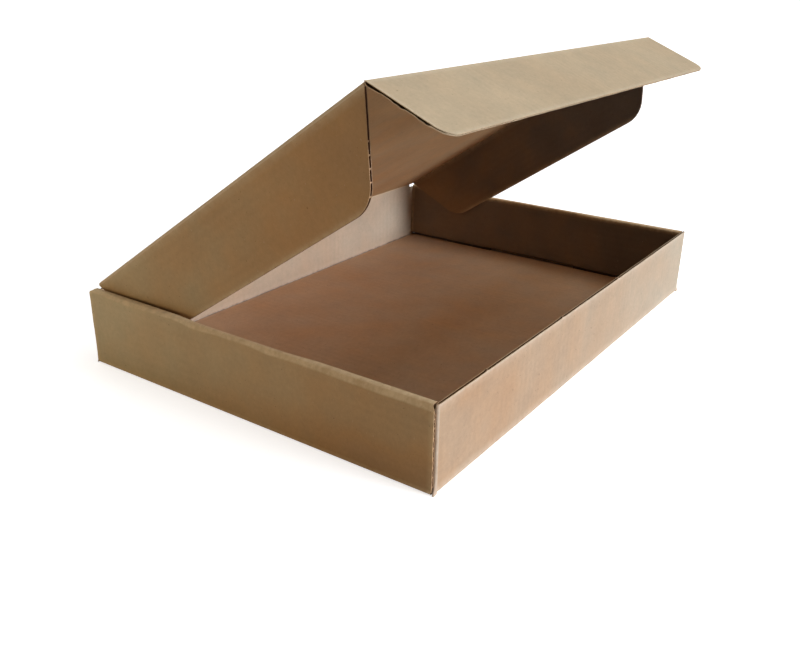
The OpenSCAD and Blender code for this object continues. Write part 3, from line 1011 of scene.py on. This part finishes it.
def make_tuck():
    """The tuck flap: its crease at the lid's front, two rounded free corners."""

    def free_edge(b):
        """Straight, with a quarter circle at each end."""
        past = np.clip(abs(b) - (LID_X - TUCK_CORNER_R), 0, TUCK_CORNER_R)
        return TUCK_CORNER_R - TUCK_LEN - np.sqrt(TUCK_CORNER_R ** 2 - past ** 2)

    crease = lambda b: np.zeros_like(b)
    arc = np.radians((0, 15, 30, 43, 55, 66, 76, 84))
    half = [0, *(LID_X - TUCK_CORNER_R * (1 - np.sin(arc))), LID_X]
    b_stops = mirrored(half)
    ends = [0, 0.01, 0.025, 0.06]
    share = lines(ends + [1 - 0.06, 1 - CREASE_TAPER / TUCK_LEN, 1 - 0.25 / TUCK_LEN, 1], 0.025)
    coarse = outlined(share, lines(b_stops, PANEL_STEP), free_edge, crease)
    core_stops = [x for x in b_stops if abs(x) < LID_X - GROOVE]
    core_stops = [GROOVE - LID_X] + core_stops + [LID_X - GROOVE]
    fine = outlined(share, lines(core_stops, FLUTE_STEP), lambda b: free_edge(b) + CORE_RECESS, crease)
    top = lambda a, b: HALF_T + WAVINESS * ripple(a, b, 51)
    beside_crease = lambda a: smooth(-a, 1, 4)
    crush = lambda a, b: near(abs(b), (LID_X,), 0.7) * (CRUSH[0] + CRUSH[1] * ripple(a, b, 53, 6.0, 1.5))
    press = lambda b: EDGE_PRESS[0] + EDGE_PRESS[1] * ripple(b, 0 * b, 57, 16.0, 7.0)
    pressed = lambda a, b: near(a, (free_edge(b),), 0.5) * press(b)
    squeezed = lambda a, b: pressed_end(-a) + crush(a, b) * beside_crease(a) + pressed(a, b)
    bottom = lambda a, b: -HALF_T + np.minimum(squeezed(a, b), BOARD_T - 2 * LINER_T - MEDIUM_T - 0.02)
    rub_and_highlight = lambda a, b: near(a, (0, -TUCK_LEN), 0.8) + near(abs(b), (LID_X,), 0.7)

    def place(a, b, h):
        """Along the sides the inner liner's edge is frayed: short bits of it stand out a little."""
        bits = np.clip(ripple(a, 0 * a, 55, 4.0, 1.2) - 0.2, 0, 0.7) * near(abs(b), (LID_X,), 0.3) * (h < 0)
        return on_tuck(b + np.sign(b) * FRAY * bits * beside_crease(a), a, h)

    layers = corrugated(place, coarse, fine, top, bottom, rub_and_highlight)
    piece = make_piece("tuck_panel", layers, tuck_liner, "tuck_flap")
    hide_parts("tuck_flap")


# Creases that turn: each is a round stretch of board that bends between two bodies

# Wear and painted highlight on the creases
CREASE_WEAR_AND_HIGHLIGHT = 0.8


def make_crease(name, place, along, angles, inner_r, outer_r, first_b=0.0):
    """A closed round stretch: points at an angle and a radius round the crease, carried along it."""
    a, t, kept = grid(along, angles)
    points, faces, part = shell(a, t, np.full_like(a, inner_r), np.full_like(a, outer_r), kept)
    blank = points.copy()
    blank[:, 1] = first_b + points[:, 1] * outer_r
    finish = np.array([LINER, LINER, RAW])[part]
    layer = (place(*points.T), blank, faces, finish, np.full(len(points), CREASE_WEAR_AND_HIGHLIGHT), even_tone(*points.T))
    return make_piece(name, [layer], lid_liner)


def arc_ends(place, along, angles, radius):
    """Where a crease's outer side starts and ends, in metres, at one place along it."""
    return (place(np.array(along), np.array(t), np.array(radius)) * MM for t in angles)


def make_flap_crease(name, side):
    """The lid's outer liner going round and down into a flap: a quarter ring round the flap's fold."""

    def place(a, t, r):
        """t is 0 above the fold and a quarter turn beside it."""
        return on_lid(side * (FLAP_FOLD_X + r * np.sin(t)), a, r * np.cos(t) - HALF_T)

    along = lines([FLAP_FRONT_GAP - LID_LEN, -FLAP_REAR_GAP[side]], CREASE_STEP)
    angles = np.linspace(0, math.pi / 2, 13)
    piece = make_crease(name, place, along, angles, 0.04, BOARD_T, side * FLAP_FOLD_X)
    start, end = arc_ends(place, -LID_LEN / 2, (0, math.pi / 2), BOARD_T)
    tuple(start)
    tuple(end)
    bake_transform(piece)


def make_tuck_crease():
    """The outer side of the tuck flap's crease: part of a ring round it, from the lid to the flap."""

    def place(a, t, r):
        """t is 0 square to the lid and the tuck flap's bend square to the flap."""
        return on_lid(a, -LID_LEN - r * np.sin(t), r * np.cos(t))

    along = lines([-LID_X, -FLAP_FOLD_X, FLAP_FOLD_X, LID_X], CREASE_STEP)
    angles = np.linspace(-0.02, TUCK_BEND + 0.02, 12)
    piece = make_crease("tuck_crease", place, along, angles, 0.03, HALF_T)
    start, end = arc_ends(place, 0.0, (0, TUCK_BEND), HALF_T)
    tuple(start)
    tuple(end)
    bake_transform(piece)


def make_lid_crease():
    """The crease at the back: the back wall's outside going up and round into the lid."""

    def place(a, t, r):
        """t is 0 behind the crease and grows upwards. Below 0 it goes straight down the wall."""
        drop = np.clip(-t, 0, None) * HALF_T
        t = np.clip(t, 0, None)
        return np.stack([a, hinge[1] + r * np.cos(t), hinge[2] + r * np.sin(t) - drop], -1)

    reach = RELIEF_X - RELIEF_R
    along = lines([-reach, reach], CREASE_STEP)
    drop = (hinge[2] - BACK_H) / HALF_T
    angles = np.concatenate([[-drop, -drop / 2], np.linspace(0, math.pi / 2 - LID_OPEN + 0.02, 10)])
    piece = make_crease("lid_crease", place, along, angles, -HALF_T, HALF_T)
    start, end = arc_ends(place, 0.0, (0, math.pi / 2 - LID_OPEN), HALF_T)
    tuple(start)
    tuple(end)
    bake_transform(piece)


# Floor, light and camera

def make_floor():
    """A pale floor that the camera sees as white where the light reaches it."""
    bpy.ops.mesh.primitive_grid_add(x_subdivisions=2, y_subdivisions=2, size=FLOOR_SIZE)
    floor = bpy.context.object
    floor.name = "floor"
    material, tree, shader = new_material("pale_floor", roughness=0.9, specular=0.0)
    shader.inputs["Base Color"].default_value = (0.82, 0.82, 0.82, 1)
    shader.inputs["Emission Color"].default_value = (1, 1, 1, 1)
    seen = tree.nodes.new("ShaderNodeLightPath").outputs["Is Camera Ray"]
    fill(shader.inputs["Emission Strength"], product(tree, seen, FLOOR_LIFT))
    floor.data.materials.append(material)


def make_world():
    """A low, even, slightly warm world that the camera sees as white."""
    world = bpy.data.worlds.new("studio")
    bpy.context.scene.world = world
    world.use_nodes = True
    tree = world.node_tree
    dim = tree.nodes["Background"]
    dim.inputs["Color"].default_value = (*WORLD_COLOUR, 1)
    dim.inputs["Strength"].default_value = WORLD_LEVEL
    white = tree.nodes.new("ShaderNodeBackground")
    white.inputs["Color"].default_value = (1, 1, 1, 1)
    mix = tree.nodes.new("ShaderNodeMixShader")
    fill(mix.inputs["Fac"], tree.nodes.new("ShaderNodeLightPath").outputs["Is Camera Ray"])
    fill(mix.inputs[1], dim.outputs["Background"])
    fill(mix.inputs[2], white.outputs["Background"])
    fill(tree.nodes["World Output"].inputs["Surface"], mix.outputs["Shader"])


def hold(name, data, right, up, back, place):
    """Puts a lamp or camera at a place, with its right, its up and its back in the given directions."""
    holder = bpy.data.objects.new(name, data)
    columns = np.column_stack([right, up, back, place])
    holder.matrix_world = Matrix(np.vstack([columns, (0, 0, 0, 1)]).tolist())
    bpy.context.scene.collection.objects.link(holder)
    return holder


def make_lamp(name, kind, azimuth, elevation, distance, level, colour):
    """A lamp that shines at the box: azimuth 0 is in front, 90 to the right."""
    lamp = bpy.data.lights.new(name, kind)
    lamp.energy = level
    lamp.color = colour
    turn, rise = math.radians(azimuth), math.radians(elevation)
    back = np.array([math.sin(turn) * math.cos(rise), -math.cos(turn) * math.cos(rise), math.sin(rise)])
    side = np.array([math.cos(turn), math.sin(turn), 0.0])
    hold(name, lamp, side, np.cross(back, side), back, back * distance)
    return lamp


def make_camera():
    """The camera at the place, heading and focal length that the photograph's corners give."""
    yaw, pitch, roll = (math.radians(angle) for angle in (CAMERA_YAW, CAMERA_PITCH, CAMERA_ROLL))
    ahead = np.array([math.sin(yaw) * math.cos(pitch), math.cos(yaw) * math.cos(pitch), -math.sin(pitch)])
    level = np.array([math.cos(yaw), -math.sin(yaw), 0.0])
    rise = np.cross(level, ahead)
    right = level * math.cos(roll) + rise * math.sin(roll)
    up = rise * math.cos(roll) - level * math.sin(roll)
    camera = bpy.data.cameras.new("camera")
    camera.sensor_fit = "HORIZONTAL"
    camera.sensor_width = SENSOR_W
    camera.lens = FOCAL_PX * SENSOR_W / PHOTO_W
    camera.clip_start = 0.01
    bpy.context.scene.camera = hold("camera", camera, right, up, -ahead, np.array(CAMERA_PLACE) * MM)


PHOTO_W = 800
SENSOR_W = 36.0
FOCAL_PX = 852.1
CAMERA_PLACE = (-211.323, -138.621, 105.12)
CAMERA_YAW = 55.299
CAMERA_PITCH = 22.921
CAMERA_ROLL = 0.917
FLOOR_SIZE = 30.0
FLOOR_LIFT = 0.72
WORLD_COLOUR = (1.0, 0.86, 0.7)
WORLD_LEVEL = 0.06

# Each soft distant lamp's azimuth, elevation, level, spread and colour
FAR_LAMPS = {
    "window": (8, 16, 2.5, 18, (0.91, 0.97, 1.06)),
    "high_front_light": (5, 42, 0.37, 30, (1.0, 0.92, 0.78)),
    "high_side_light": (60, 52, 0.8, 40, (0.92, 1.0, 1.04)),
    "back_light": (155, 48, 0.55, 50, (1.0, 0.95, 0.88))}

make_camera()
make_base()
for side, side_name in ((-1, "left"), (1, "right")):
    make_side_wall(side_name + "_side_wall", side)
    for end, end_name in ((-1, "front"), (1, "back")):
        make_ear(end_name + "_" + side_name + "_ear", side, end)
    flap_node = "lid_flap_" + side_name
    make_flap(side_name + "_flap_panel", side, flap_node)
    make_flap_crease(side_name + "_flap_crease", side)
make_lid()
make_tuck()
make_tuck_crease()
make_lid_crease()
make_floor()
make_world()
for lamp_name, (azimuth, elevation, level, spread, colour) in FAR_LAMPS.items():
    far_lamp = make_lamp(lamp_name, "SUN", azimuth, elevation, 1.0, level, colour)
    far_lamp.angle = math.radians(spread)

# A soft panel close by, whose light falls off along the box
near_lamp = make_lamp("left_low_light", "AREA", azimuth=-118, elevation=8, distance=0.42, level=0.26,
                      colour=(1.0, 0.76, 0.45))
near_lamp.shape = "DISK"
near_lamp.size = 0.12

bpy.context.scene.view_settings.view_transform = "Standard"
